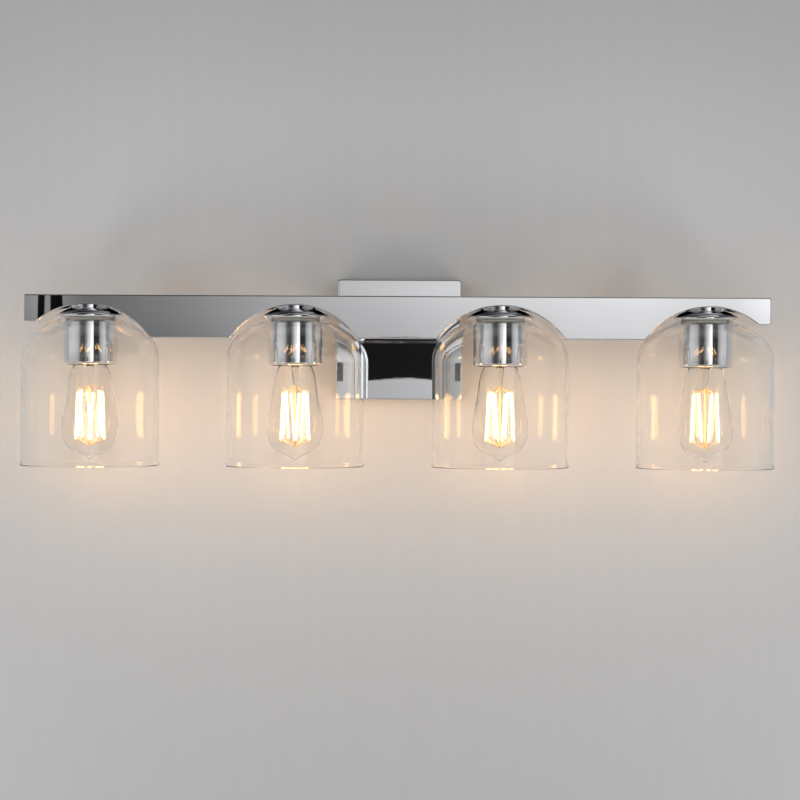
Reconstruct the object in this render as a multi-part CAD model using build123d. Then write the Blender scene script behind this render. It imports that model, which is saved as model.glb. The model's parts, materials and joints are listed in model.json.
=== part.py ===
from build123d import *
from math import acos, asin, cos, degrees, radians, sin, sqrt
import os

# Vanity light bar: four clear glass shades hang in a row under a hollow polished bar, which two
# posts hold off a square backplate. Millimetres, +Z up, +X along the bar, -Y towards the room.
# The origin is the centre of the backplate's rear rim, on the wall.

# ---- driving dimensions ---------------------------------------------------------------------
LIGHT_SPACING = 226.0
LIGHT_X = [(n - 1.5) * LIGHT_SPACING for n in range(4)]
AXIS_Y = -97.0  # every shade's centre line stands this far in front of the wall

SHEET = 1.2  # sheet metal of the bar, its cover and the backplate
BAR_LENGTH = 813.0
BAR_TOP = 43.8
BAR_BOTTOM = -2.9
BAR_FRONT = -129.0
BAR_REAR = -66.0
SCOOP_RADIUS = 84.0
SCOOP_TOP = 33.3
LUG_BOTTOM = 14.2  # the bar's two ends stop higher than its flats between the scoops
SEAT_RADIUS = 22.0  # flat pressed seat in the top of each scoop
SEAT_BOTTOM = 29.7

PLATE_WIDTH = 140.0
PLATE_HEIGHT = 137.0
PLATE_DEPTH = 25.0

POST_X = 28.0
POST_Z = 20.0
POST_RADIUS = 8.0
POST_NECK = 5.9
POST_BORE = 4.0

CAP_RADIUS = 37.5
CAP_TOP_RADIUS = 23.3
CAP_RIM = 21.2
CAP_SHEET = 1.0

GLASS_RADIUS = 75.2
GLASS_RIM_RADIUS = 76.4
GLASS_RIM = -143.2
GLASS_LIP = 1.55  # radius of the rounded rim
GLASS_FLARE = 6.0  # height over which the wall runs out to the rim
GLASS_WALL = 3.0
GLASS_HOLE = 21.0  # radius of the hole for the lampholder
GLASS_LAND = 20.4  # height of the flat round that hole
GLASS_LAND_INNER = 16.6
CROWN_RADIUS = 99.4  # the shade's shallow top
CROWN_WALL = 3.4
CROWN_CENTRE = -75.5
SHOULDER_RADIUS = 36.0  # joins the shade's wall to its crown

GASKET_THICK = 1.5
HOLDER_RADIUS = 19.6
HOLDER_FLANGE = 27.5
HOLDER_BOTTOM = -17.5
HOLDER_FLOOR = 5.0
CHAMBER_BOTTOM = 9.0
CHAMBER_TOP = 24.0
HOLDER_TOP = SEAT_BOTTOM - CAP_SHEET
HOLDER_PITCH = 2.5  # one turn of the cup
HOLDER_THREADS = 7
HOT_OFFSET = -1.6  # where the live lead stands in the nipple and in the lampholder's floor
NEUTRAL_OFFSET = 9.5  # the neutral lead in the floor
NEUTRAL_TOP_OFFSET = 1.6  # the neutral lead in the nipple

CUP_RADIUS = 29.8
CUP_TOP = 16.5
CUP_BOTTOM = -31.8
CUP_WALL = 1.2
CUP_LIP = 3.0

NIPPLE_RADIUS = 4.8
NIPPLE_BORE = 3.4
NIPPLE_BOTTOM = 24.2
NIPPLE_TOP = 37.2
WASHER_THICK = 0.8
WASHER_BOTTOM = SEAT_BOTTOM + SHEET
NUT_BOTTOM = WASHER_BOTTOM + WASHER_THICK
NUT_THICK = 4.0

LAMP_PITCH = 25.4 / 7  # medium screw base, seven threads to the inch
LAMP_BASE_RADIUS = 13.05
LAMP_SHELL_CREST = 13.4
LAMP_SHELL_RADIUS = 14.1
BASE_BOTTOM = -20.0
TIP_TOP = 3.8
NECK_RADIUS = 11.75
NECK_TOP = -9.0  # the bulb's glass goes up inside its base to here
BELLY_RADIUS = 30.9
BELLY_Z = -103.5
BULB_TIP = -136.6
BULB_WALL = 1.0
STEM_END = -53.0
FILAMENTS = 8
FILAMENT_RADIUS = 0.95
FILAMENT_TOP = -61.5
FILAMENT_BOTTOM = -112.5
FILAMENT_LEAN = 8.0  # degrees round the axis, each way from the middle

WIRE = 1.1  # radius of an insulated lead
WIRE_GAP = 1.5  # the four leads in a post stand this far either side of its centre line
LANE_Z = 39.9  # the leads cross over the scoops at this height
LANES = {"black": -84.0, "white": -80.0}
PAN_BLACK_Y = -15.0
PAN_WHITE_Y = -9.0
CONNECTOR_LENGTH = 19.0
BLACK_MOUTH = 34.0
WHITE_MOUTH = 5.0
GROUND_MOUTH = -24.0
IN_CONNECTOR = 7.0  # length of each wire inside its connector

LINK_SLOTS = 88.9  # spacing of the junction box screws
SLOT_LENGTH = 9.0
SLOT_RADIUS = 2.2
LINK_HALF_WIDTH = 11.0
EAR_OUTER = PLATE_WIDTH / 2 - SHEET - 0.3
EAR_THICK = 1.6
SIDE_SCREW_Y = -9.0
GROUND_X = -24.0

TAB_THICK = 1.6
TAB_REACH = 10.0
TAB_INSET = 6.4  # from the bar's edge to a cover screw's centre
END_SCREW_X = 395.0
COVER_SCREWS = [(x, BAR_BOTTOM + TAB_INSET) for x in (-LIGHT_SPACING, 0, LIGHT_SPACING)]
COVER_SCREWS += [(x, BAR_TOP - TAB_INSET) for x in (-END_SCREW_X, -LIGHT_SPACING, 0)]
COVER_SCREWS += [(x, BAR_TOP - TAB_INSET) for x in (LIGHT_SPACING, END_SCREW_X)]

COVER_FRONT = BAR_REAR - SHEET
INSIDE_FRONT = BAR_FRONT + SHEET
PLATE_FRONT = -PLATE_DEPTH
SCOOP_CENTRE = SCOOP_TOP - SCOOP_RADIUS


# ---- helpers --------------------------------------------------------------------------------
def block(x, y, z):
    """A box from (low, high) on each axis."""
    low, high = zip(x, y, z)
    size = [b - a for a, b in zip(low, high)]
    return Pos(*low) * Box(*size, align=(Align.MIN, Align.MIN, Align.MIN))


def rod_z(radius, low, high, x=0.0, y=0.0):
    return Pos(x, y, low) * Cylinder(radius, high - low, align=(Align.CENTER, Align.CENTER, Align.MIN))


def rod_y(radius, low, high, x=0.0, z=0.0):
    """A cylinder along Y, from y = low to y = high."""
    return Pos(x, high, z) * Rot(90, 0, 0) * rod_z(radius, 0, high - low)


def rod_x(radius, low, high, y=0.0, z=0.0):
    return Pos(low, y, z) * Rot(0, 90, 0) * rod_z(radius, 0, high - low)


def hexagon_z(flats, low, high):
    """A hexagonal prism along Z, measured across its flats."""
    sketch = RegularPolygon(flats / sqrt(3), 6)
    return Pos(0, 0, low) * extrude(sketch, high - low)


def turned(*outline):
    """Turns an outline about Z. It is a closed run of (radius, height) points and of edges already made."""
    edges = []
    for here, there in zip(outline, outline[1:] + outline[:1]):
        if isinstance(here, Edge):
            edges.append(here)
        start = end_of(here)
        finish = start_of(there)
        if (start - finish).length > 1e-6:
            edges.append(Edge.make_line(start, finish))
    return revolve(Face(Wire(edges)), Axis.Z)


def start_of(item):
    return item @ 0 if isinstance(item, Edge) else Vector(item[0], 0, item[1])


def end_of(item):
    return item @ 1 if isinstance(item, Edge) else Vector(item[0], 0, item[1])


def arc(start, middle, finish):
    points = [Vector(r, 0, z) for r, z in (start, middle, finish)]
    return Edge.make_three_point_arc(*points)


def curve(*points, tangents=None):
    """A smooth curve through (radius, height) points, with the directions of its two ends if given."""
    ways = [Vector(r, 0, z) for r, z in tangents] if tangents else None
    return Edge.make_spline([Vector(r, 0, z) for r, z in points], tangents=ways)


def on_circle(centre_r, centre_z, radius, degrees):
    """A point on a circle in the outline's plane; 0 degrees points away from the axis, 90 up."""
    angle = radians(degrees)
    return centre_r + radius * cos(angle), centre_z + radius * sin(angle)


def lead(points, radii, radius=WIRE):
    """A round wire along straight runs joined by arcs."""
    path = FilletPolyline(*points, radius=radii)
    section = Plane(origin=path @ 0, z_dir=path % 0) * Circle(radius)
    return sweep(section, path=path)


def cross_recess(size, depth):
    """The cross cut into a screw's head, open towards +Z, with its mouth at z = 0."""
    bar = block((-size / 2, size / 2), (-size / 8, size / 8), (-depth, 1))
    return bar + Rot(0, 0, 90) * bar


def screw(head_radius, head_height, shank_radius, shank_length):
    """A pan head screw along Z: the head stands above z = 0 and the shank goes down from it."""
    rim = head_height * 0.45
    head = turned(
        (0, 0),
        (head_radius, 0),
        (head_radius, rim),
        arc((head_radius, rim), (head_radius * 0.8, head_height * 0.85), (0, head_height)),
    )
    body = head + turned(
        (0, 0.2),
        (0, -shank_length),
        (shank_radius * 0.6, -shank_length),
        (shank_radius, -shank_length + shank_radius * 0.6),
        (shank_radius, 0.2),
    )
    return body - Pos(0, 0, head_height) * cross_recess(head_radius, head_height * 0.6)


def at_light(shape, x):
    return Pos(x, AXIS_Y, 0) * shape


def at_every_light(shape):
    return Compound(children=[at_light(shape, x) for x in LIGHT_X])


def save(shape, name):
    export_step(shape, f"parts/{name}.step")


# ---- bar ------------------------------------------------------------------------------------
def bar_block(inset, y_low, y_high):
    """The bar's outline, drawn in by inset all round, as one block from y_low to y_high."""
    half = BAR_LENGTH / 2 - inset
    shape = block((-half, half), (y_low, y_high), (BAR_BOTTOM + inset, BAR_TOP - inset))
    for x in LIGHT_X:
        shape -= rod_y(SCOOP_RADIUS + inset, y_low - 1, y_high + 1, x, SCOOP_CENTRE)
    for side in (-1, 1):
        near, far = sorted((side * LIGHT_X[3], side * (half + 1)))
        shape -= block((near, far), (y_low - 1, y_high + 1), (BAR_BOTTOM - 1, LUG_BOTTOM + inset))
    return shape


def screw_tab(x, z):
    """A tab folded in from the bar's nearer flange, for one of the rear cover's screws."""
    wall = BAR_BOTTOM + SHEET / 2 if z < (BAR_BOTTOM + BAR_TOP) / 2 else BAR_TOP - SHEET / 2
    tip = wall + TAB_REACH if z > wall else wall - TAB_REACH
    y_high = COVER_FRONT - 0.2
    tab = block((x - 6, x + 6), (y_high - TAB_THICK, y_high), sorted((wall, tip)))
    return tab - rod_y(1.5, y_high - TAB_THICK - 1, y_high + 1, x, z)


def scoop_seat(x):
    """The pressed seat under one scoop: what it adds, and what it takes out of the sheet."""
    depth = 12.0
    pan = rod_z(SEAT_RADIUS, SEAT_BOTTOM, SEAT_BOTTOM + depth, x, AXIS_Y)
    pan &= rod_y(SCOOP_RADIUS + SHEET / 2, BAR_FRONT, BAR_REAR, x, SCOOP_CENTRE)
    hollow = rod_z(SEAT_RADIUS - SHEET, SEAT_BOTTOM + SHEET, SCOOP_TOP + SHEET + 1, x, AXIS_Y)
    hollow += rod_z(NIPPLE_RADIUS + 0.3, SEAT_BOTTOM - 1, SEAT_BOTTOM + depth, x, AXIS_Y)
    return pan, hollow


def bar_shell():
    """Front, top, flats, ends and scoops, pressed from one sheet, open at the rear."""
    outer = bar_block(0, BAR_FRONT, BAR_REAR)
    ends = [e for e in outer.edges().filter_by(Axis.Y) if abs(e.center().X) > BAR_LENGTH / 2 - 1]
    outer = fillet(ends, 2.0)
    outer = fillet(outer.faces().sort_by(Axis.Y)[0].outer_wire().edges(), 1.4)
    shell = outer - bar_block(SHEET, INSIDE_FRONT, BAR_REAR + 1)
    for x in LIGHT_X:
        pan, hollow = scoop_seat(x)
        shell = shell + pan - hollow
    for x, z in COVER_SCREWS:
        shell += screw_tab(x, z)
    return shell


def bar_rear_cover():
    """The flat plate that closes the bar, flush with its rear edge."""
    cover = bar_block(SHEET + 0.3, COVER_FRONT, BAR_REAR)
    for x, z in COVER_SCREWS:
        cover -= rod_y(1.8, COVER_FRONT - 1, BAR_REAR + 1, x, z)
    for side in (-1, 1):
        cover -= rod_y(POST_NECK + 0.2, COVER_FRONT - 1, BAR_REAR + 1, side * POST_X, POST_Z)
    return cover


def cover_screws():
    one = Rot(-90, 0, 0) * screw(3.2, 2.2, 1.42, 7.5)
    return Compound(children=[Pos(x, BAR_REAR, z) * one for x, z in COVER_SCREWS])


# ---- wall fixing ----------------------------------------------------------------------------
def backplate():
    """A square pan, open towards the wall."""
    half_x = PLATE_WIDTH / 2
    half_z = PLATE_HEIGHT / 2
    outer = block((-half_x, half_x), (PLATE_FRONT, 0), (-half_z, half_z))
    outer = fillet(outer.edges().filter_by(Axis.Y), 3.0)
    outer = fillet(outer.faces().sort_by(Axis.Y)[0].outer_wire().edges(), 1.6)
    inner = block(
        (-half_x + SHEET, half_x - SHEET),
        (PLATE_FRONT + SHEET, 1),
        (-half_z + SHEET, half_z - SHEET),
    )
    pan = outer - fillet(inner.edges().filter_by(Axis.Y), 3.0 - SHEET)
    for side in (-1, 1):
        pan -= rod_y(POST_NECK + 0.2, PLATE_FRONT - 1, PLATE_FRONT + 3, side * POST_X, POST_Z)
    return pan - rod_x(2.3, -half_x - 1, half_x + 1, SIDE_SCREW_Y, 0)


def crossbar():
    """The mounting strap: slotted for the junction box, with an ear at each end."""
    width = (-LINK_HALF_WIDTH, LINK_HALF_WIDTH)
    strap = block((-EAR_OUTER, EAR_OUTER), (-EAR_THICK, 0), width)
    for side in (-1, 1):
        ear = sorted((side * EAR_OUTER, side * (EAR_OUTER - EAR_THICK)))
        strap += block(ear, (-15.0, 0), width)
        slot = extrude(Plane.XZ * SlotOverall(SLOT_LENGTH, SLOT_RADIUS * 2), 4, both=True)
        strap -= Pos(side * LINK_SLOTS / 2, 0, 0) * slot
    strap -= rod_y(5.2, -5, 5)
    strap -= rod_y(1.95, -5, 5, GROUND_X)
    return strap - rod_x(1.95, -EAR_OUTER - 1, EAR_OUTER + 1, SIDE_SCREW_Y, 0)


def backplate_screws():
    """Two screws through the pan's sides into the strap's ears."""
    one = screw(3.8, 2.4, 1.9, 8.0)
    right = Pos(PLATE_WIDTH / 2, SIDE_SCREW_Y, 0) * Rot(0, 90, 0) * one
    left = Pos(-PLATE_WIDTH / 2, SIDE_SCREW_Y, 0) * Rot(0, -90, 0) * one
    return Compound(children=[left, right])


def standoff_posts():
    """Two hollow posts between the backplate and the bar; the leads run through them."""
    one = rod_y(POST_RADIUS, BAR_REAR, PLATE_FRONT)
    one += rod_y(POST_NECK, BAR_REAR - 5.4, PLATE_FRONT + 5.4)
    one -= rod_y(POST_BORE, BAR_REAR - 8.0, PLATE_FRONT + 8.0)
    return Compound(children=[Pos(side * POST_X, 0, POST_Z) * one for side in (-1, 1)])


def post_nuts():
    """One nut inside the bar and one inside the backplate on each post."""
    nut = hexagon_z(17.0, 0, 3.0) - rod_z(POST_NECK + 0.1, -1, 4)
    nut = Rot(-90, 0, 0) * nut
    places = [
        Pos(side * POST_X, y, POST_Z)
        for side in (-1, 1)
        for y in (COVER_FRONT - 3.0, PLATE_FRONT + SHEET)
    ]
    return Compound(children=[place * nut for place in places])


# ---- one light: what stays still ------------------------------------------------------------
def shade_cap():
    """The shallow polished cap that covers the top of the glass and the lampholder's flange."""
    shoulder = (33.0, 25.3)
    slope = arc((CAP_RADIUS, CAP_RIM + 1.0), shoulder, (CAP_TOP_RADIUS, SEAT_BOTTOM))
    inside = arc(
        (CAP_TOP_RADIUS - 0.6, SEAT_BOTTOM - CAP_SHEET),
        (shoulder[0] - 0.7, shoulder[1] - 0.9),
        (CAP_RADIUS - CAP_SHEET, CAP_RIM + 0.6),
    )
    return turned(
        (CAP_RADIUS, CAP_RIM),
        slope,
        (NIPPLE_RADIUS + 0.2, SEAT_BOTTOM),
        (NIPPLE_RADIUS + 0.2, SEAT_BOTTOM - CAP_SHEET),
        inside,
        (CAP_RADIUS - CAP_SHEET, CAP_RIM),
    )


def shade_gasket():
    return turned(
        (GLASS_HOLE + 0.2, GLASS_LAND),
        (27.0, GLASS_LAND),
        (27.0, GLASS_LAND + GASKET_THICK),
        (GLASS_HOLE + 0.2, GLASS_LAND + GASKET_THICK),
    )


def lampholder():
    """Moulded socket body: a flange above the glass, a threaded barrel through it, a wiring chamber."""
    flange_bottom = GLASS_LAND + GASKET_THICK
    root = HOLDER_RADIUS - 0.7
    outline = [(0, HOLDER_TOP), (17, HOLDER_TOP), (17, 25), (HOLDER_FLANGE, 25)]
    outline += [(HOLDER_FLANGE, flange_bottom), (HOLDER_RADIUS, flange_bottom)]
    for n in range(HOLDER_THREADS):
        crest = GLASS_LAND_INNER - n * HOLDER_PITCH
        outline += [(HOLDER_RADIUS, crest), (root, crest - 0.7)]
        outline += [(root, crest - 1.3), (HOLDER_RADIUS, crest - 2.0)]
    outline += [(HOLDER_RADIUS, HOLDER_BOTTOM + 1), (HOLDER_RADIUS - 1, HOLDER_BOTTOM), (0, HOLDER_BOTTOM)]
    body = turned(*outline)
    body -= rod_z(LAMP_SHELL_RADIUS + 0.1, HOLDER_BOTTOM - 1, HOLDER_FLOOR)
    body -= rod_z(12.5, CHAMBER_BOTTOM, CHAMBER_TOP)
    body -= rod_z(NIPPLE_RADIUS + 0.05, CHAMBER_TOP - 1, HOLDER_TOP + 1)
    for offset in (HOT_OFFSET, NEUTRAL_OFFSET):
        body -= rod_z(WIRE + 0.15, HOLDER_FLOOR - 1, CHAMBER_BOTTOM + 1, 0, offset)
    return body


def screw_shell():
    """The lampholder's threaded metal shell, with its inward flange against the floor."""
    wall = LAMP_SHELL_RADIUS - 0.35
    low = HOLDER_BOTTOM + 0.5
    outline = [(7.0, HOLDER_FLOOR), (LAMP_SHELL_RADIUS, HOLDER_FLOOR), (LAMP_SHELL_RADIUS, low), (wall, low)]
    for n in range(5):
        crest = low + 1.6 + n * LAMP_PITCH
        outline += [(wall, crest - 0.8), (LAMP_SHELL_CREST, crest - 0.2)]
        outline += [(LAMP_SHELL_CREST, crest + 0.2), (wall, crest + 0.8)]
    outline += [(wall, HOLDER_FLOOR - 0.5), (7.0, HOLDER_FLOOR - 0.5)]
    return turned(*outline)


def centre_contact():
    """The sprung contact's rivet and disc at the bottom of the socket."""
    thick = 0.6
    return turned(
        (0, HOLDER_FLOOR),
        (5.0, HOLDER_FLOOR),
        (5.0, HOLDER_FLOOR - thick),
        (3.0, HOLDER_FLOOR - thick),
        (2.4, TIP_TOP + 0.05),
        (0, TIP_TOP + 0.05),
    )


def socket_nipple():
    return rod_z(NIPPLE_RADIUS, NIPPLE_BOTTOM, NIPPLE_TOP) - rod_z(NIPPLE_BORE, 0, 50)


def lock_washer():
    """A toothed washer under the nipple's nut."""
    ring = rod_z(6.6, WASHER_BOTTOM, NUT_BOTTOM)
    tooth = block((6.0, 7.9), (-0.7, 0.7), (WASHER_BOTTOM, NUT_BOTTOM))
    for n in range(12):
        ring += Rot(0, 0, n * 30) * tooth
    return ring - rod_z(NIPPLE_RADIUS + 0.1, 0, 50)


def nipple_nut():
    nut = hexagon_z(15.0, NUT_BOTTOM, NUT_BOTTOM + NUT_THICK)
    return nut - rod_z(NIPPLE_RADIUS + 0.1, 0, 50)


# ---- one light: what comes off --------------------------------------------------------------
def shade_arcs(radius, crown_radius, shoulder, land):
    """A shade surface's two arcs, each as three points: its shoulder, then its crown up to the land."""
    centre_r = radius - shoulder
    reach = crown_radius - shoulder
    centre_z = CROWN_CENTRE + sqrt(reach**2 - centre_r**2)
    lean = degrees(acos(centre_r / reach))
    top = degrees(asin((land - CROWN_CENTRE) / crown_radius))
    bend = [on_circle(centre_r, centre_z, shoulder, angle) for angle in (0, lean / 2, lean)]
    crown = [on_circle(0, CROWN_CENTRE, crown_radius, angle) for angle in (lean, (lean + top) / 2, top)]
    return bend, crown


def glass_shade():
    """A thick clear bell: straight wall, round shoulder, shallow crown, slightly flared rim."""
    inner_radius = GLASS_RADIUS - GLASS_WALL
    bend, crown = shade_arcs(GLASS_RADIUS, CROWN_RADIUS, SHOULDER_RADIUS, GLASS_LAND)
    in_bend, in_crown = shade_arcs(
        inner_radius, CROWN_RADIUS - CROWN_WALL, SHOULDER_RADIUS - GLASS_WALL, GLASS_LAND_INNER
    )
    lip_r = GLASS_RIM_RADIUS - GLASS_LIP
    lip_z = GLASS_RIM + GLASS_LIP
    flare_top = GLASS_RIM + GLASS_FLARE
    flare_middle = GLASS_RIM + 3.4
    outside = (lip_r + GLASS_LIP, lip_z)
    inside = (lip_r - GLASS_LIP, lip_z)
    return turned(
        arc(inside, (lip_r, GLASS_RIM), outside),
        arc(outside, (GLASS_RADIUS + 0.4, flare_middle), (GLASS_RADIUS, flare_top)),
        arc(*bend),
        arc(*crown),
        (GLASS_HOLE, GLASS_LAND),
        (GLASS_HOLE, GLASS_LAND_INNER),
        arc(*reversed(in_crown)),
        arc(*reversed(in_bend)),
        arc((inner_radius, flare_top), (inner_radius + 0.4, flare_middle), inside),
    )


def socket_cup():
    """The polished cup that screws up the lampholder from inside the shade and clamps the glass."""
    inner = CUP_RADIUS - CUP_WALL
    collar = HOLDER_RADIUS + 0.35
    collar_wall = collar + 1.6
    collar_bottom = 6.5
    corner = 3.2
    lip_r = CUP_RADIUS - CUP_LIP
    lip_z = CUP_BOTTOM + CUP_LIP
    lip_in = CUP_LIP - CUP_WALL
    top_edge = arc(
        (CUP_RADIUS, CUP_TOP - corner),
        on_circle(CUP_RADIUS - corner, CUP_TOP - corner, corner, 45),
        (CUP_RADIUS - corner, CUP_TOP),
    )
    lip_out = arc((lip_r, CUP_BOTTOM), on_circle(lip_r, lip_z, CUP_LIP, -45), (CUP_RADIUS, lip_z))
    lip_inside = arc(
        (inner, lip_z), on_circle(lip_r, lip_z, lip_in, -45), (lip_r, CUP_BOTTOM + CUP_WALL)
    )
    return turned(
        lip_out,
        top_edge,
        (collar, CUP_TOP),
        (collar, collar_bottom),
        (collar_wall, collar_bottom),
        (collar_wall, CUP_TOP - CUP_WALL),
        (inner, CUP_TOP - CUP_WALL),
        lip_inside,
    )


def bulb_base():
    """The bulb's threaded metal shell: round threads, a plain skirt and a sloping shoulder."""
    root = LAMP_BASE_RADIUS - 0.75
    wall = 0.4
    first = BASE_BOTTOM + 5.2
    outline = [(root - wall, BASE_BOTTOM), (LAMP_BASE_RADIUS, BASE_BOTTOM), (LAMP_BASE_RADIUS, first - 1.4)]
    for n in range(4):
        crest = first + 0.4 + n * LAMP_PITCH
        low = (root, crest - 1.1)
        high = (root, crest + 1.1)
        outline += [low, arc(low, (LAMP_BASE_RADIUS, crest), high)]
    outline += [(root, -3.2), (9.6, -0.6), (9.2, -0.6), (9.2, -1.2), (root - wall, -3.6)]
    return turned(*outline)


def bulb_insulator():
    """The black glass bead between the base's shell and the tip contact."""
    return turned(
        (2.15, -1.6),
        (9.0, -1.6),
        (9.1, -0.4),
        (4.6, TIP_TOP - 1.5),
        (2.15, TIP_TOP - 1.5),
    )


def bulb_contact():
    """The button at the end of the bulb's base, with its stem through the insulator."""
    return turned(
        (0, -1.4),
        (2.0, -1.4),
        (2.0, TIP_TOP - 1.4),
        (4.1, TIP_TOP - 1.4),
        (4.1, TIP_TOP - 0.8),
        arc((4.1, TIP_TOP - 0.8), (3.4, TIP_TOP - 0.2), (2.2, TIP_TOP)),
        (0, TIP_TOP),
    )


def bulb_body(wall, top):
    """The bulb's outline as a solid, drawn in by a wall's thickness, from the top of its neck to its tip."""
    neck = NECK_RADIUS - wall
    belly = (BELLY_RADIUS - wall, BELLY_Z)
    side = curve(
        (neck, BASE_BOTTOM),
        (19.6 - wall, -35.0),
        (25.2 - wall, -63.0),
        (29.3 - wall, -84.0),
        belly,
        tangents=[(0.28, -1), (0, -1)],
    )
    bottom = curve(
        belly,
        (27.0 - wall, -118.8 + wall * 0.5),
        (16.5, -128.0 + wall),
        (4.6, -133.4 + wall),
        (0, BULB_TIP + wall),
        tangents=[(0, -1), (-1, -0.9)],
    )
    return turned((0, top), (neck, top), side, bottom)


def bulb_glass():
    """A clear teardrop bulb with its sealed tip downwards and its neck in the base."""
    return bulb_body(0, NECK_TOP) - bulb_body(BULB_WALL, NECK_TOP + 1)


def bulb_stem():
    """The glass stem: a flare that closes the neck, then a tube drawn down to a solid end."""
    return turned(
        (0, -10.0),
        (10.6, -10.0),
        (10.6, -11.6),
        curve((10.6, -11.6), (6.0, -15.0), (4.4, -22.0)),
        curve((4.4, -22.0), (4.0, -38.0), (2.4, -47.0)),
        (2.0, STEM_END),
        (0, STEM_END),
    )


def filament_ends(n):
    """The top and bottom of one filament: neighbours lean towards and away from each other in turn."""
    middle = 360 / FILAMENTS * n + 14
    lean = FILAMENT_LEAN if n % 2 else -FILAMENT_LEAN
    top_angle = radians(middle - lean)
    low_angle = radians(middle + lean)
    shift = 1.2 if n % 2 else -1.2
    top = Vector(14.2 * cos(top_angle), 14.2 * sin(top_angle), FILAMENT_TOP + shift)
    low = Vector(15.6 * cos(low_angle), 15.6 * sin(low_angle), FILAMENT_BOTTOM + shift)
    return top, low


def stick(start, finish, radius):
    """A straight round rod between two points."""
    way = finish - start
    return extrude(Plane(origin=start, z_dir=way) * Circle(radius), way.length)


def bulb_filaments():
    """Eight straight glowing sticks round the stem."""
    return Compound(children=[stick(*filament_ends(n), FILAMENT_RADIUS) for n in range(FILAMENTS)])


def bulb_supports():
    """One wire frame: a centre wire with a spoke to each filament's top and bottom."""
    top_hub = Vector(0, 0, STEM_END - 1.5)
    low_hub = Vector(0, 0, FILAMENT_BOTTOM - 8.5)
    frame = stick(Vector(0, 0, STEM_END), low_hub - Vector(0, 0, 0.8), 0.9)
    for n in range(FILAMENTS):
        top, low = filament_ends(n)
        outward = (low - top).normalized() * 0.75
        for hub, tip, ferrule in ((top_hub, top, top - outward), (low_hub, low, low + outward)):
            frame += stick(hub, ferrule, 0.4)
            frame += stick(tip, ferrule, 0.7)
    return frame


# ---- wiring ---------------------------------------------------------------------------------
def lamp_lead(x, colour):
    """One lamp's lead: up its nipple, along over the scoops, through a post, into its connector."""
    side = 1 if x > 0 else -1
    outer = abs(x) > LIGHT_SPACING
    black = colour == "black"
    start_y = AXIS_Y + (HOT_OFFSET if black else NEUTRAL_TOP_OFFSET)
    slot_x = side * (POST_X - WIRE_GAP if black else POST_X + WIRE_GAP)
    slot_z = POST_Z + (WIRE_GAP if outer else -WIRE_GAP)
    pan_y = (PAN_BLACK_Y if black else PAN_WHITE_Y) + (-WIRE_GAP if outer else WIRE_GAP)
    end_z = BLACK_MOUTH + IN_CONNECTOR if black else WHITE_MOUTH - IN_CONNECTOR
    points = [(x, start_y, HOLDER_FLOOR)]
    radii = []
    if not black:
        low_y = AXIS_Y + NEUTRAL_OFFSET
        points = [(x, low_y, HOLDER_FLOOR), (x, low_y, 12.5), (x, start_y, 20.0)]
        radii = [4.0, 4.0]
    points.append((x, start_y, LANE_Z))
    radii.append(2.6)
    lane_y = start_y
    if outer:
        lane_y = LANES[colour]
        points += [(side * 300, start_y, LANE_Z), (side * 284, lane_y, LANE_Z)]
        radii += [12.0, 12.0]
    points += [(slot_x, lane_y, LANE_Z), (slot_x, lane_y, slot_z), (slot_x, pan_y, slot_z)]
    points += [(side * WIRE_GAP, pan_y, slot_z), (side * WIRE_GAP, pan_y, end_z)]
    radii += [5.0, 5.0, 4.0, 4.0]
    return lead(points, radii)


def leads(colour):
    return Compound(children=[lamp_lead(x, colour) for x in LIGHT_X])


def ground_lead():
    """A bare wire with a ring terminal, from the ground screw to the third connector."""
    ring = rod_y(4.8, -EAR_THICK - 0.8, -EAR_THICK, GROUND_X) - rod_y(2.1, -5, 5, GROUND_X)
    wire_y = -EAR_THICK - 0.9
    points = [
        (GROUND_X, wire_y, -4.0),
        (GROUND_X, wire_y, -10.0),
        (GROUND_X, PAN_WHITE_Y, -18.0),
        (GROUND_X, PAN_WHITE_Y, GROUND_MOUTH - IN_CONNECTOR),
    ]
    return ring + lead(points, [6.0, 6.0], 0.8)


def ground_screw():
    return Pos(GROUND_X, -EAR_THICK - 0.8, 0) * Rot(90, 0, 0) * screw(3.9, 2.2, 1.85, 2.4)


def wire_connectors():
    """Three twist-on connectors: live, neutral and ground."""
    one = turned(
        (0, 0),
        (5.4, 0),
        (5.4, 5.0),
        (4.9, 6.5),
        (3.6, CONNECTOR_LENGTH - 1.2),
        (2.6, CONNECTOR_LENGTH),
        (0, CONNECTOR_LENGTH),
    )
    for n in range(6):
        one -= Rot(0, 0, n * 60) * rod_z(1.0, 8.0, CONNECTOR_LENGTH + 1, 5.4)
    one -= rod_z(4.1, -1, 9.0)
    return Compound(
        children=[
            Pos(0, PAN_BLACK_Y, BLACK_MOUTH) * one,
            Pos(0, PAN_WHITE_Y, WHITE_MOUTH) * Rot(180, 0, 0) * one,
            Pos(GROUND_X, PAN_WHITE_Y, GROUND_MOUTH) * Rot(180, 0, 0) * one,
        ]
    )


# ---- writing --------------------------------------------------------------------------------
def main():
    os.makedirs("parts", exist_ok=True)
    singles = [bar_shell, bar_rear_cover, cover_screws, backplate, crossbar, backplate_screws]
    singles += [standoff_posts, post_nuts, ground_lead, ground_screw, wire_connectors]
    for make in singles:
        save(make(), make.__name__)
    save(leads("black"), "black_leads")
    save(leads("white"), "white_leads")
    grouped = [shade_gasket, lampholder, screw_shell, centre_contact]
    grouped += [socket_nipple, lock_washer, nipple_nut]
    for make in grouped:
        save(at_every_light(make()), f"{make.__name__}s")
    separate = [shade_cap, glass_shade, socket_cup, bulb_base, bulb_insulator, bulb_contact]
    separate += [bulb_glass, bulb_stem, bulb_filaments, bulb_supports]
    for make in separate:
        shape = make()
        for number, x in enumerate(LIGHT_X, 1):
            save(at_light(shape, x), f"{make.__name__}_{number}")


main()
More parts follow.
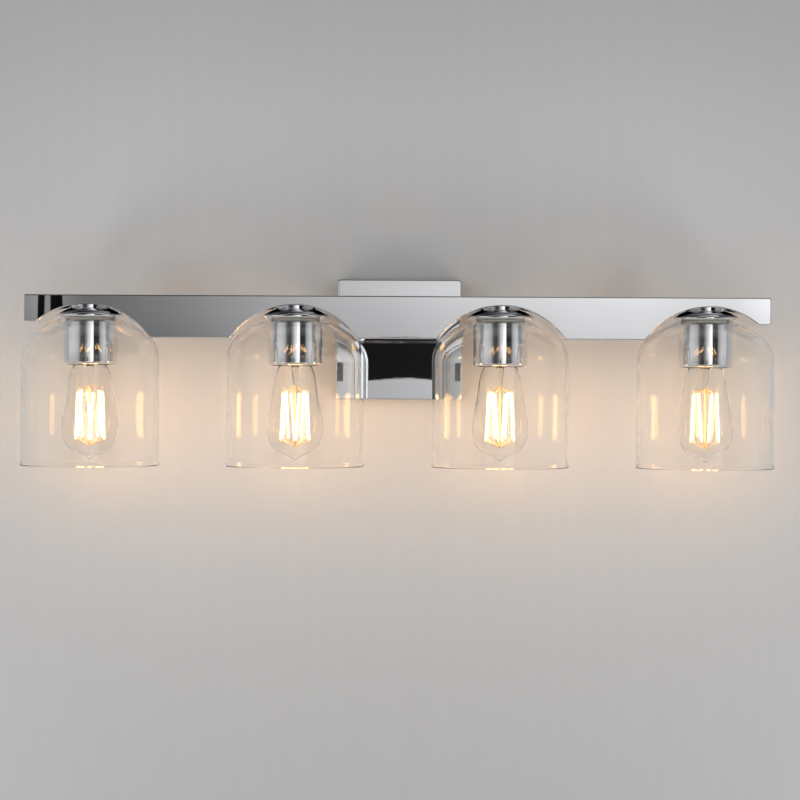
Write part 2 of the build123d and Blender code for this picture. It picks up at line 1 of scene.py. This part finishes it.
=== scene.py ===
import json
from math import acos, asin, cos, degrees, pi, radians, sin, sqrt

import bmesh
import bpy
import numpy as np
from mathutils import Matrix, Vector


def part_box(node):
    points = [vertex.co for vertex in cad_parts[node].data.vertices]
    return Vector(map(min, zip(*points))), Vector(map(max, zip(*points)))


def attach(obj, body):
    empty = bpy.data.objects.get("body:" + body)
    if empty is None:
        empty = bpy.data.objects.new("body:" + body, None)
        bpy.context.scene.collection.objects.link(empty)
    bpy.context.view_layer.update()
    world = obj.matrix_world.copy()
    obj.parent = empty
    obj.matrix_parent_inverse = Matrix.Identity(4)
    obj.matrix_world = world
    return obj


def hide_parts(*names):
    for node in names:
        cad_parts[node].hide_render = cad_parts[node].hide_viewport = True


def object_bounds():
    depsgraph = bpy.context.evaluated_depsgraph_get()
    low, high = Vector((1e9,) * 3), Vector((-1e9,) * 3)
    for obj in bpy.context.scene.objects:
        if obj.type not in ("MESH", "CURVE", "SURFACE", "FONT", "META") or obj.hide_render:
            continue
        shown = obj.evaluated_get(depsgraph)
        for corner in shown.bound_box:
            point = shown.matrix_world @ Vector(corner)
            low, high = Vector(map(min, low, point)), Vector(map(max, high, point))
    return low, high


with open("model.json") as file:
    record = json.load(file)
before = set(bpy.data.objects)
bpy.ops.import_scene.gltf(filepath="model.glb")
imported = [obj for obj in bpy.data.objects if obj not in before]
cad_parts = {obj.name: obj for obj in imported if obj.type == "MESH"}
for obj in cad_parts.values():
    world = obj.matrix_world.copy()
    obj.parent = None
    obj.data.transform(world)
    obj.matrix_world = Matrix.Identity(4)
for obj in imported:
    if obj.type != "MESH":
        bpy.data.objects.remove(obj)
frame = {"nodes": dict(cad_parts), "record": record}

CAD_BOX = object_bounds()
NODES = frame["nodes"]
LIGHTS = (1, 2, 3, 4)

# ---- driving dimensions, in metres ------------------------------------------------------------
CAMERA_DISTANCE = 2.329  # from the wall
CAMERA_SIDE = 0.046  # to the right of the light's middle
CAMERA_HEIGHT = -0.0822
CAMERA_LENS = 91.1
CAMERA_ROLL = radians(-0.3)
CAMERA_SHIFT = (-0.0491, 0.015)  # brings the backplate back to the picture's middle

WALL_HALF = 3.0
WALL_GAP = 0.0005  # between the backplate's rim and the wall's face
BOX_HALF = 0.050  # half the opening of the junction box, which the backplate covers
FLOOR_DROP = 1.1  # the floor lies this far below the light

SHADE_RADIUS = 0.0752
SHADE_RIM_RADIUS = 0.07638
SHADE_WALL = 0.003
SHADE_LIP = 0.00155
SHADE_FLARE = 0.006
CROWN_RADIUS = 0.0994
CROWN_WALL = 0.0034
CROWN_CENTRE = -0.0755
SHOULDER_RADIUS = 0.036
SHADE_LAND = 0.0204
SHADE_LAND_INNER = 0.0166
SHADE_HOLE = 0.021

BULB_WALL = 0.0010
BELLY_RADIUS = 0.0309
BELLY_Z = -0.1035
NECK_RADIUS = 0.01175
NECK_TOP = -0.009
NECK_FOOT = -0.020
BULB_TIP = -0.1366

SHADE_STEPS = 160  # flats round a shade
BULB_STEPS = 112

PLAIN_LIGHT = 0.345  # the even light that reaches everything but what a mirror sees
# Soft lamps in front of the wall, one on each side: energy, size, place and the height that they aim at.
SOFT_LAMPS = {
    "low": (5.5, 0.5, (1.25, -0.9, -0.9), -0.55),
    "wash": (0.66, 0.6, (0.42, -0.75, -0.20), -0.20),
    "near": (0.26, 0.3, (0.28, -0.35, 0.06), 0.06),
}


def light_axis(number):
    """The centre line of one light, as x and y, from its socket cup."""
    low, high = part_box(f"socket_cup_{number}")
    return (low.x + high.x) / 2, (low.y + high.y) / 2


# ---- camera -----------------------------------------------------------------------------------
def make_camera():
    data = bpy.data.cameras.new("camera")
    data.lens = CAMERA_LENS
    camera = bpy.data.objects.new("camera", data)
    camera.location = (CAMERA_SIDE, -CAMERA_DISTANCE, CAMERA_HEIGHT)
    camera.rotation_euler = (radians(90), CAMERA_ROLL, 0)
    data.shift_x, data.shift_y = CAMERA_SHIFT
    bpy.context.scene.collection.objects.link(camera)
    bpy.context.scene.camera = camera


# ---- small tools ------------------------------------------------------------------------------
def linear(level):
    """A brightness as a screen shows it, with white at 255, as linear light."""
    share = level / 255
    return share / 12.92 if share <= 0.04045 else ((share + 0.055) / 1.055) ** 2.4


def add_mesh(name, bm, smooth_angle=35):
    """A finished mesh object from a bmesh, smooth except across sharp edges."""
    bmesh.ops.recalc_face_normals(bm, faces=bm.faces)
    mesh = bpy.data.meshes.new(name)
    bm.to_mesh(mesh)
    bm.free()
    mesh.polygons.foreach_set("use_smooth", [True] * len(mesh.polygons))
    mesh.set_sharp_from_angle(angle=radians(smooth_angle))
    piece = bpy.data.objects.new(name, mesh)
    bpy.context.scene.collection.objects.link(piece)
    return piece


def lathe(name, outline, steps, x, y):
    """Turns a closed outline of (radius, height) points about an upright axis at x, y."""
    bm = bmesh.new()
    rings = []
    for radius, z in outline:
        if radius < 1e-7:
            rings.append([bm.verts.new((x, y, z))])
            continue
        ring = []
        for n in range(steps):
            angle = 2 * pi * n / steps
            ring.append(bm.verts.new((x + radius * cos(angle), y + radius * sin(angle), z)))
        rings.append(ring)
    for here, there in zip(rings, rings[1:] + rings[:1]):
        for n in range(steps):
            corners = [here[n % len(here)], here[(n + 1) % len(here)]]
            corners += [there[(n + 1) % len(there)], there[n % len(there)]]
            corners = list(dict.fromkeys(corners))
            if len(corners) > 2:
                bm.faces.new(corners)
    return add_mesh(name, bm)


def on_circle(centre_r, centre_z, radius, angle):
    """Angle in degrees: 0 points away from the axis, 90 up."""
    return centre_r + radius * cos(radians(angle)), centre_z + radius * sin(radians(angle))


def arc(centre_r, centre_z, radius, start, finish, count):
    angles = np.linspace(start, finish, count)
    return [on_circle(centre_r, centre_z, radius, angle) for angle in angles]


def spline(points, start_way, end_way, steps):
    """A smooth cubic through points, with the directions of its two ends, as steps per stretch."""
    p = np.array(points, float)
    h = np.linalg.norm(np.diff(p, axis=0), axis=1)
    count = len(p)
    matrix = np.eye(count)
    sums = np.zeros_like(p)
    sums[0] = np.array(start_way) / np.linalg.norm(start_way)
    sums[-1] = np.array(end_way) / np.linalg.norm(end_way)
    for i in range(1, count - 1):
        matrix[i, i - 1:i + 2] = h[i], 2 * (h[i - 1] + h[i]), h[i - 1]
        sums[i] = 3 * (h[i] * (p[i] - p[i - 1]) / h[i - 1] + h[i - 1] * (p[i + 1] - p[i]) / h[i])
    ways = np.linalg.solve(matrix, sums)
    line = []
    for i in range(count - 1):
        for t in np.arange(steps) / steps:
            line.append(
                (1 + 2 * t) * (1 - t) ** 2 * p[i]
                + t * (1 - t) ** 2 * h[i] * ways[i]
                + t * t * (3 - 2 * t) * p[i + 1]
                + t * t * (t - 1) * h[i] * ways[i + 1]
            )
    line.append(p[-1])
    return [tuple(point) for point in line]


def place(piece, body, slot, *nodes):
    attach(piece, body)
    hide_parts(*nodes)
    return piece


# ---- materials --------------------------------------------------------------------------------
def new_material(name):
    material = bpy.data.materials.new(name)
    material.use_nodes = True
    return material, material.node_tree, material.node_tree.nodes["Principled BSDF"]


def noise(tree, scale, stretch=(1, 1, 1), detail=4.0, roughness=0.55):
    """A noise that is fixed to the piece. Scale is in cells per metre, before the stretch."""
    place_node = tree.nodes.new("ShaderNodeTexCoord")
    mapping = tree.nodes.new("ShaderNodeMapping")
    mapping.inputs["Scale"].default_value = stretch
    texture = tree.nodes.new("ShaderNodeTexNoise")
    texture.inputs["Scale"].default_value = scale
    texture.inputs["Detail"].default_value = detail
    texture.inputs["Roughness"].default_value = roughness
    tree.links.new(place_node.outputs["Object"], mapping.inputs["Vector"])
    tree.links.new(mapping.outputs["Vector"], texture.inputs["Vector"])
    return texture.outputs["Fac"]


def spread(tree, source, low, high, from_low=0.35, from_high=0.65):
    """Stretches a noise's middle range to low..high."""
    node = tree.nodes.new("ShaderNodeMapRange")
    node.inputs["From Min"].default_value = from_low
    node.inputs["From Max"].default_value = from_high
    node.inputs["To Min"].default_value = low
    node.inputs["To Max"].default_value = high
    tree.links.new(source, node.inputs["Value"])
    return node.outputs["Result"]


def value(tree, operation, first, second=0.0, third=0.0):
    """One Math node. Each operand is a number or another node's output."""
    node = tree.nodes.new("ShaderNodeMath")
    node.operation = operation
    for socket, operand in zip(node.inputs, (first, second, third)):
        if isinstance(operand, (int, float)):
            socket.default_value = operand
        else:
            tree.links.new(operand, socket)
    return node.outputs["Value"]


def blend_colours(tree, source, first, second):
    """Goes from the first colour to the second as source goes from 0 to 1."""
    node = tree.nodes.new("ShaderNodeMix")
    node.data_type = "RGBA"
    node.inputs["A"].default_value = (*first, 1)
    node.inputs["B"].default_value = (*second, 1)
    tree.links.new(source, node.inputs["Factor"])
    return node.outputs["Result"]


def bump(tree, shader, source, height, strength=1.0, under=None):
    """Height is in metres, from the source's 0 to its 1."""
    node = tree.nodes.new("ShaderNodeBump")
    node.inputs["Distance"].default_value = height
    node.inputs["Strength"].default_value = strength
    tree.links.new(source, node.inputs["Height"])
    if under is not None:
        tree.links.new(under.outputs["Normal"], node.inputs["Normal"])
    tree.links.new(node.outputs["Normal"], shader.inputs["Normal"])
    return node


def metal(name, first, second, rough, patch=60, stretch=(1, 1, 1), waves=0.0, grain=0.0, grain_scale=900):
    """A metal whose tone and roughness vary in patches, with slow waves and a fine grain in its surface."""
    material, tree, shader = new_material(name)
    shader.inputs["Metallic"].default_value = 1.0
    patches = noise(tree, patch, stretch)
    colour = blend_colours(tree, spread(tree, patches, 0, 1), first, second)
    tree.links.new(colour, shader.inputs["Base Color"])
    streaks = noise(tree, patch * 6, stretch, detail=6)
    tree.links.new(spread(tree, streaks, rough[0], rough[1]), shader.inputs["Roughness"])
    below = None
    if waves:
        below = bump(tree, shader, noise(tree, 9, detail=1.0), waves)
    if grain:
        bump(tree, shader, noise(tree, grain_scale, stretch, detail=3), grain, under=below)
    return material


def moulded(name, first, second, rough, grain=0.00002, grain_scale=1500, patch=120, coat=0.0):
    """Moulded plastic, rubber or phenolic: uneven tone, soft gloss, fine skin."""
    material, tree, shader = new_material(name)
    tone = blend_colours(tree, spread(tree, noise(tree, patch), 0, 1), first, second)
    tree.links.new(tone, shader.inputs["Base Color"])
    gloss = spread(tree, noise(tree, patch * 3), rough[0], rough[1])
    tree.links.new(gloss, shader.inputs["Roughness"])
    shader.inputs["Coat Weight"].default_value = coat
    bump(tree, shader, noise(tree, grain_scale), grain)
    return material


def glass(name, tint, ior, wave, wave_scale, rough=(0.0, 0.004)):
    """Clear glass with slight waves in its surface. Light falls through it without bending."""
    material, tree, shader = new_material(name)
    shader.inputs["Base Color"].default_value = (*tint, 1)
    shader.inputs["Transmission Weight"].default_value = 1.0
    shader.inputs["IOR"].default_value = ior
    gloss = spread(tree, noise(tree, 40), rough[0], rough[1])
    tree.links.new(gloss, shader.inputs["Roughness"])
    bump(tree, shader, noise(tree, wave_scale, detail=1.5), wave)
    clear = tree.nodes.new("ShaderNodeBsdfTransparent")
    clear.inputs["Color"].default_value = (*tint, 1)
    path = tree.nodes.new("ShaderNodeLightPath")
    straight = value(tree, "MAXIMUM", path.outputs["Is Shadow Ray"], path.outputs["Is Diffuse Ray"])
    mix = tree.nodes.new("ShaderNodeMixShader")
    tree.links.new(straight, mix.inputs["Fac"])
    tree.links.new(shader.outputs["BSDF"], mix.inputs[1])
    tree.links.new(clear.outputs["BSDF"], mix.inputs[2])
    tree.links.new(mix.outputs["Shader"], tree.nodes["Material Output"].inputs["Surface"])
    return material


def glowing(name, core, cool, strength, seen, scale):
    """A filament's phosphor: it glows a little unevenly, and is dimmer seen straight through the glass."""
    material, tree, shader = new_material(name)
    beads = spread(tree, noise(tree, scale, (1, 1, 1), detail=2), 0, 1)
    colour = blend_colours(tree, beads, core, cool)
    tree.links.new(colour, shader.inputs["Base Color"])
    tree.links.new(colour, shader.inputs["Emission Color"])
    path = tree.nodes.new("ShaderNodeLightPath")
    unmirrored = value(tree, "LESS_THAN", path.outputs["Glossy Depth"], 0.5)
    direct = value(tree, "MULTIPLY", path.outputs["Is Transmission Ray"], unmirrored)
    glow = spread(tree, direct, strength, seen, 0.0, 1.0)
    tree.links.new(glow, shader.inputs["Emission Strength"])
    shader.inputs["Roughness"].default_value = 0.5
    bump(tree, shader, beads, 0.00003)
    return material


def make_materials():
    return {
        "polished_chrome": metal(
            "polished_chrome", (0.88, 0.88, 0.89), (0.83, 0.83, 0.84), (0.0, 0.010),
            patch=25, stretch=(0.15, 1, 1), waves=0.00012, grain=0.0000004,
        ),
        "chrome_sheet_rear": metal(
            "chrome_sheet_rear", (0.72, 0.73, 0.74), (0.62, 0.63, 0.64), (0.14, 0.26),
            patch=18, stretch=(0.2, 1, 1), waves=0.00012, grain=0.000003,
        ),
        "zinc_steel": metal(
            "zinc_steel", (0.66, 0.66, 0.60), (0.52, 0.52, 0.50), (0.22, 0.42),
            patch=90, waves=0.00004, grain=0.000008,
        ),
        "chrome_screws": metal(
            "chrome_screws", (0.82, 0.82, 0.84), (0.72, 0.72, 0.74), (0.06, 0.14),
            patch=200, grain=0.000003,
        ),
        "green_screw": moulded("green_screw", (0.02, 0.22, 0.06), (0.04, 0.34, 0.10), (0.25, 0.4), coat=0.4),
        "cream_phenolic": moulded(
            "cream_phenolic", (0.78, 0.73, 0.63), (0.70, 0.65, 0.55), (0.18, 0.34), coat=0.3,
        ),
        "brass": metal(
            "brass", (0.78, 0.58, 0.26), (0.66, 0.46, 0.18), (0.14, 0.30), patch=150, grain=0.000004,
        ),
        "rubber_gasket": moulded("rubber_gasket", (0.84, 0.82, 0.79), (0.78, 0.76, 0.73), (0.45, 0.6)),
        "shade_glass": glass("shade_glass", (0.99, 0.993, 0.99), 1.40, 0.00006, 14),
        "bulb_glass": glass("bulb_glass", (0.985, 0.985, 0.98), 1.27, 0.00003, 45),
        "stem_glass": glass("stem_glass", (0.97, 0.98, 0.97), 1.30, 0.00006, 120, rough=(0.0, 0.03)),
        "bulb_base_metal": metal(
            "bulb_base_metal", (0.74, 0.71, 0.65), (0.60, 0.58, 0.54), (0.16, 0.32),
            patch=160, grain=0.000006,
        ),
        "bulb_insulator": moulded("bulb_insulator", (0.008, 0.008, 0.010), (0.02, 0.02, 0.024), (0.08, 0.2)),
        "bulb_tip_metal": metal(
            "bulb_tip_metal", (0.60, 0.57, 0.50), (0.48, 0.45, 0.38), (0.24, 0.45), patch=300, grain=0.00001,
        ),
        "filament": glowing("filament", (1.0, 0.60, 0.25), (1.0, 0.53, 0.20), 33.0, 10.0, 700),
        "support_wire": metal(
            "support_wire", (0.95, 0.80, 0.55), (0.88, 0.70, 0.45), (0.5, 0.65), patch=400, grain=0.000003,
        ),
        "black_insulation": moulded(
            "black_insulation", (0.012, 0.012, 0.012), (0.03, 0.03, 0.03), (0.4, 0.55),
        ),
        "white_insulation": moulded("white_insulation", (0.78, 0.78, 0.74), (0.70, 0.69, 0.65), (0.4, 0.55)),
        "bare_copper": metal(
            "bare_copper", (0.80, 0.42, 0.26), (0.62, 0.30, 0.18), (0.2, 0.4), patch=220, grain=0.000004,
        ),
        "connector_plastic": moulded(
            "connector_plastic", (0.80, 0.24, 0.03), (0.72, 0.19, 0.02), (0.35, 0.5), grain=0.00004,
        ),
    }


def dress(materials):
    """Gives every CAD node the material of its own slot in the record."""
    for part in frame["record"]["subparts"]:
        node = NODES[part["node"]]
        node.data.materials.clear()
        node.data.materials.append(materials[part["material_slot"]])


# ---- pieces of one light ----------------------------------------------------------------------
def shade_side(radius, crown_radius, shoulder, land, count):
    """A shade surface from its straight wall up to the flat land round the hole."""
    centre_r = radius - shoulder
    reach = crown_radius - shoulder
    centre_z = CROWN_CENTRE + sqrt(reach**2 - centre_r**2)
    lean = degrees(acos(centre_r / reach))
    top = degrees(asin((land - CROWN_CENTRE) / crown_radius))
    bend = arc(centre_r, centre_z, shoulder, 0, lean, count)
    crown = arc(0, CROWN_CENTRE, crown_radius, lean, top, count)
    return bend + crown[1:]


def glass_shade(number, materials):
    x, y = light_axis(number)
    rim_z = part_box(f"glass_shade_{number}")[0].z
    flare_top = rim_z + SHADE_FLARE
    lip_r = SHADE_RIM_RADIUS - SHADE_LIP
    lip_z = rim_z + SHADE_LIP
    inner = SHADE_RADIUS - SHADE_WALL
    outside = shade_side(SHADE_RADIUS, CROWN_RADIUS, SHOULDER_RADIUS, SHADE_LAND, 22)
    inside = shade_side(
        inner, CROWN_RADIUS - CROWN_WALL, SHOULDER_RADIUS - SHADE_WALL, SHADE_LAND_INNER, 22
    )
    wall = np.linspace(flare_top, outside[0][1], 14)[1:-1]
    flare = np.linspace(0, 1, 8)
    out_flare = [(lip_r + SHADE_LIP + (SHADE_RADIUS - lip_r - SHADE_LIP) * sin(t * pi / 2),
                  lip_z + (flare_top - lip_z) * t) for t in flare[1:]]
    in_flare = [(lip_r - SHADE_LIP + (inner - lip_r + SHADE_LIP) * sin(t * pi / 2),
                 lip_z + (flare_top - lip_z) * t) for t in flare[1:]]
    outline = arc(lip_r, lip_z, SHADE_LIP, -180, 0, 13) + out_flare
    outline += [(SHADE_RADIUS, z) for z in wall] + outside
    outline += [(SHADE_HOLE, SHADE_LAND), (SHADE_HOLE, SHADE_LAND_INNER)]
    outline += inside[::-1] + [(inner, z) for z in wall[::-1]] + in_flare[::-1]
    piece = lathe(f"shade_bell_{number}", outline, SHADE_STEPS, x, y)
    piece.data.materials.append(materials["shade_glass"])
    return place(piece, f"shade_{number}", "shade_glass", f"glass_shade_{number}")


def bulb_side(wall):
    belly = (BELLY_RADIUS - wall, BELLY_Z)
    side = spline(
        [(NECK_RADIUS - wall, NECK_FOOT), (0.0196 - wall, -0.035), (0.0252 - wall, -0.063),
         (0.0293 - wall, -0.084), belly],
        (0.28, -1), (0, -1), 12,
    )
    bottom = spline(
        [belly, (0.0270 - wall, -0.1188 + wall * 0.5), (0.0165, -0.1280 + wall),
         (0.0046, -0.1334 + wall), (0, BULB_TIP + wall)],
        (0, -1), (-1, -0.9), 10,
    )
    return side + bottom[1:]


def bulb_glass(number, materials):
    x, y = light_axis(number)
    outside = bulb_side(0)
    inside = bulb_side(BULB_WALL)
    outline = [(NECK_RADIUS, NECK_TOP)] + outside + inside[::-1] + [(NECK_RADIUS - BULB_WALL, NECK_TOP)]
    piece = lathe(f"bulb_envelope_{number}", outline, BULB_STEPS, x, y)
    piece.data.materials.append(materials["bulb_glass"])
    return place(piece, f"bulb_{number}", "bulb_glass", f"bulb_glass_{number}")


# ---- room -------------------------------------------------------------------------------------
def sheet(name, faces):
    """A flat stage piece of one or more faces, each a list of its corners."""
    bm = bmesh.new()
    for corners in faces:
        bm.faces.new([bm.verts.new(c) for c in corners])
    mesh = bpy.data.meshes.new(name)
    bm.to_mesh(mesh)
    bm.free()
    piece = bpy.data.objects.new(name, mesh)
    bpy.context.scene.collection.objects.link(piece)
    return piece


def rectangle(x, y, low, high):
    """The corners of an upright rectangle from -x to x, facing the room."""
    return [(-x, y, low), (x, y, low), (x, y, high), (-x, y, high)]


def wall_material():
    """Pale grey paint with faint upright brush marks, seen only from the room's side."""
    material, tree, shader = new_material("wall_paint")
    marks = noise(tree, 80, (1, 1, 0.04), detail=5)
    tone = blend_colours(tree, spread(tree, marks, 0, 1), (0.705, 0.705, 0.705), (0.717, 0.717, 0.717))
    tree.links.new(tone, shader.inputs["Base Color"])
    shader.inputs["Roughness"].default_value = 0.85
    shader.inputs["Specular IOR Level"].default_value = 0.15
    bump(tree, shader, marks, 0.0002, 0.12)
    clear = tree.nodes.new("ShaderNodeBsdfTransparent")
    side = tree.nodes.new("ShaderNodeNewGeometry")
    mix = tree.nodes.new("ShaderNodeMixShader")
    tree.links.new(side.outputs["Backfacing"], mix.inputs["Fac"])
    tree.links.new(shader.outputs["BSDF"], mix.inputs[1])
    tree.links.new(clear.outputs["BSDF"], mix.inputs[2])
    tree.links.new(mix.outputs["Shader"], tree.nodes["Material Output"].inputs["Surface"])
    return material


def floor_material():
    material, tree, shader = new_material("floor_paint")
    tone = blend_colours(tree, spread(tree, noise(tree, 8), 0, 1), (0.66, 0.66, 0.66), (0.70, 0.70, 0.70))
    tree.links.new(tone, shader.inputs["Base Color"])
    shader.inputs["Roughness"].default_value = 0.8
    return material


def make_room():
    """A wall with the opening of the house's junction box behind the backplate, and a floor."""
    h = WALL_HALF
    floor_z = CAD_BOX[0].z - FLOOR_DROP
    outside = rectangle(h, WALL_GAP, floor_z, h)
    opening = rectangle(BOX_HALF, WALL_GAP, -BOX_HALF, BOX_HALF)
    sides = [(outside[n - 1], outside[n], opening[n], opening[n - 1]) for n in range(4)]
    wall = sheet("wall", sides)
    wall.data.materials.append(wall_material())
    front = [(-h, -h, floor_z), (h, -h, floor_z)]
    floor = sheet("floor", [front + [(h, WALL_GAP, floor_z), (-h, WALL_GAP, floor_z)]])
    floor.data.materials.append(floor_material())


# Brightness round the room at eye level, as a mirror in the light sees it: azimuth in degrees
# (0 is towards the camera, positive to its right on the picture), then brightness with white at 255.
ROOM_BANDS = [
    (-180, 120), (-94, 205), (-60, 205), (-42, 180), (-32, 90), (-24, 60), (-15, 60), (-12.5, 98),
    (-11.7, 136), (-10.9, 150), (-10.4, 98), (-8.7, 118), (-6.5, 140), (-4.8, 165), (-2, 190), (0.3, 210),
    (2.5, 218), (4.8, 232), (6.5, 232), (7.6, 214), (8.7, 232), (10.5, 285), (22, 285), (23.5, 22),
    (44, 26), (50, 150), (65, 205), (105, 205), (180, 120),
]
# How the same room darkens below and far above eye level: elevation in degrees, then share of light.
ROOM_HEIGHTS = [
    (-90, 0.45), (-25, 0.6), (-8, 0.9), (0.5, 0.80), (2.0, 0.78), (3.3, 1.0), (8, 0.9), (14, 0.28),
    (30, 0.16), (90, 0.10),
]
ROOM_GAIN = 1.16  # makes up for what the chrome keeps
CARD_LEVEL = 0.02  # share of its light that a black card still gives
# Black cards in front of the light, in degrees: middle and half width round the room, then up it.
BLACK_CARDS = [
    ((-1.15, 2.2), (1.47, 0.6)),
    ((-1.15, 2.2), (-1.95, 0.7)),
    ((-11.10, 0.09), (3.0, 2.0)),
    ((-10.72, 0.16), (3.0, 2.0)),
]


def ramp(tree, source, stops):
    """A ramp of grey levels through (place from 0 to 1, level) stops."""
    node = tree.nodes.new("ShaderNodeValToRGB")
    elements = node.color_ramp.elements
    for element, (at, level) in zip(elements, (stops[0], stops[-1])):
        element.position = at
        element.color = (level, level, level, 1)
    for at, level in stops[1:-1]:
        elements.new(at).color = (level, level, level, 1)
    tree.links.new(source, node.inputs["Fac"])
    return node.outputs["Color"]


def make_world():
    """What polished metal mirrors is a studio in soft bands; everything else gets plain soft light."""
    world = bpy.data.worlds.new("studio")
    bpy.context.scene.world = world
    world.use_nodes = True
    tree = world.node_tree
    tree.nodes.clear()
    coordinates = tree.nodes.new("ShaderNodeTexCoord")
    parts = tree.nodes.new("ShaderNodeSeparateXYZ")
    tree.links.new(coordinates.outputs["Generated"], parts.inputs["Vector"])
    towards = value(tree, "MULTIPLY", parts.outputs["Y"], -1)
    azimuth = value(tree, "ARCTAN2", parts.outputs["X"], towards)
    elevation = value(tree, "ARCSINE", parts.outputs["Z"])
    around = value(tree, "MULTIPLY_ADD", azimuth, 1 / (2 * pi), 0.5)
    up = value(tree, "MULTIPLY_ADD", elevation, 1 / pi, 0.5)
    bands = ramp(tree, around, [((angle + 180) / 360, linear(level)) for angle, level in ROOM_BANDS])
    heights = ramp(tree, up, [((angle + 90) / 180, share) for angle, share in ROOM_HEIGHTS])
    seen = value(tree, "MULTIPLY", value(tree, "MULTIPLY", bands, heights), ROOM_GAIN)
    for card in BLACK_CARDS:
        sides = []
        for angle, (middle, half) in zip((azimuth, elevation), card):
            off = value(tree, "ABSOLUTE", value(tree, "SUBTRACT", angle, radians(middle)))
            sides.append(value(tree, "GREATER_THAN", off, radians(half)))
        outside = value(tree, "MAXIMUM", *sides)
        kept = value(tree, "MULTIPLY_ADD", outside, 1 - CARD_LEVEL, CARD_LEVEL)
        seen = value(tree, "MULTIPLY", seen, kept)

    path = tree.nodes.new("ShaderNodeLightPath")
    mirrored = value(tree, "GREATER_THAN", path.outputs["Glossy Depth"], 0.5)
    shiny = value(tree, "MULTIPLY", path.outputs["Is Glossy Ray"], mirrored)
    light = tree.nodes.new("ShaderNodeMix")
    light.inputs["A"].default_value = PLAIN_LIGHT
    tree.links.new(shiny, light.inputs["Factor"])
    tree.links.new(seen, light.inputs["B"])
    background = tree.nodes.new("ShaderNodeBackground")
    output = tree.nodes.new("ShaderNodeOutputWorld")
    background.inputs["Color"].default_value = (0.985, 0.99, 1.0, 1)
    tree.links.new(light.outputs["Result"], background.inputs["Strength"])
    tree.links.new(background.outputs["Background"], output.inputs["Surface"])


def make_lamps():
    """Soft lamps that light the wall but aren't seen in the picture or in mirrors."""
    for kind, (energy, size, (side, y, z), aim_z) in SOFT_LAMPS.items():
        for x, name in ((-side, f"{kind}_left"), (side, f"{kind}_right")):
            data = bpy.data.lights.new(name, "AREA")
            data.energy = energy
            data.size = size
            lamp = bpy.data.objects.new(name, data)
            lamp.location = (x, y, z)
            lamp.rotation_euler = (Vector((x, 0, aim_z)) - lamp.location).to_track_quat("-Z", "Y").to_euler()
            lamp.visible_camera = False
            lamp.visible_glossy = False
            lamp.visible_transmission = False
            bpy.context.scene.collection.objects.link(lamp)


# ---- making -----------------------------------------------------------------------------------
make_camera()
MATERIALS = make_materials()
dress(MATERIALS)
for light in LIGHTS:
    glass_shade(light, MATERIALS)
    bulb_glass(light, MATERIALS)
    NODES[f"bulb_supports_{light}"].visible_shadow = False
make_room()
make_world()
make_lamps()
scene = bpy.context.scene
scene.view_settings.view_transform = "Standard"
scene.cycles.caustics_refractive = False
scene.cycles.caustics_reflective = False
scene.cycles.max_bounces = 24
scene.cycles.glossy_bounces = 8
scene.cycles.transmission_bounces = 20
scene.cycles.transparent_max_bounces = 24
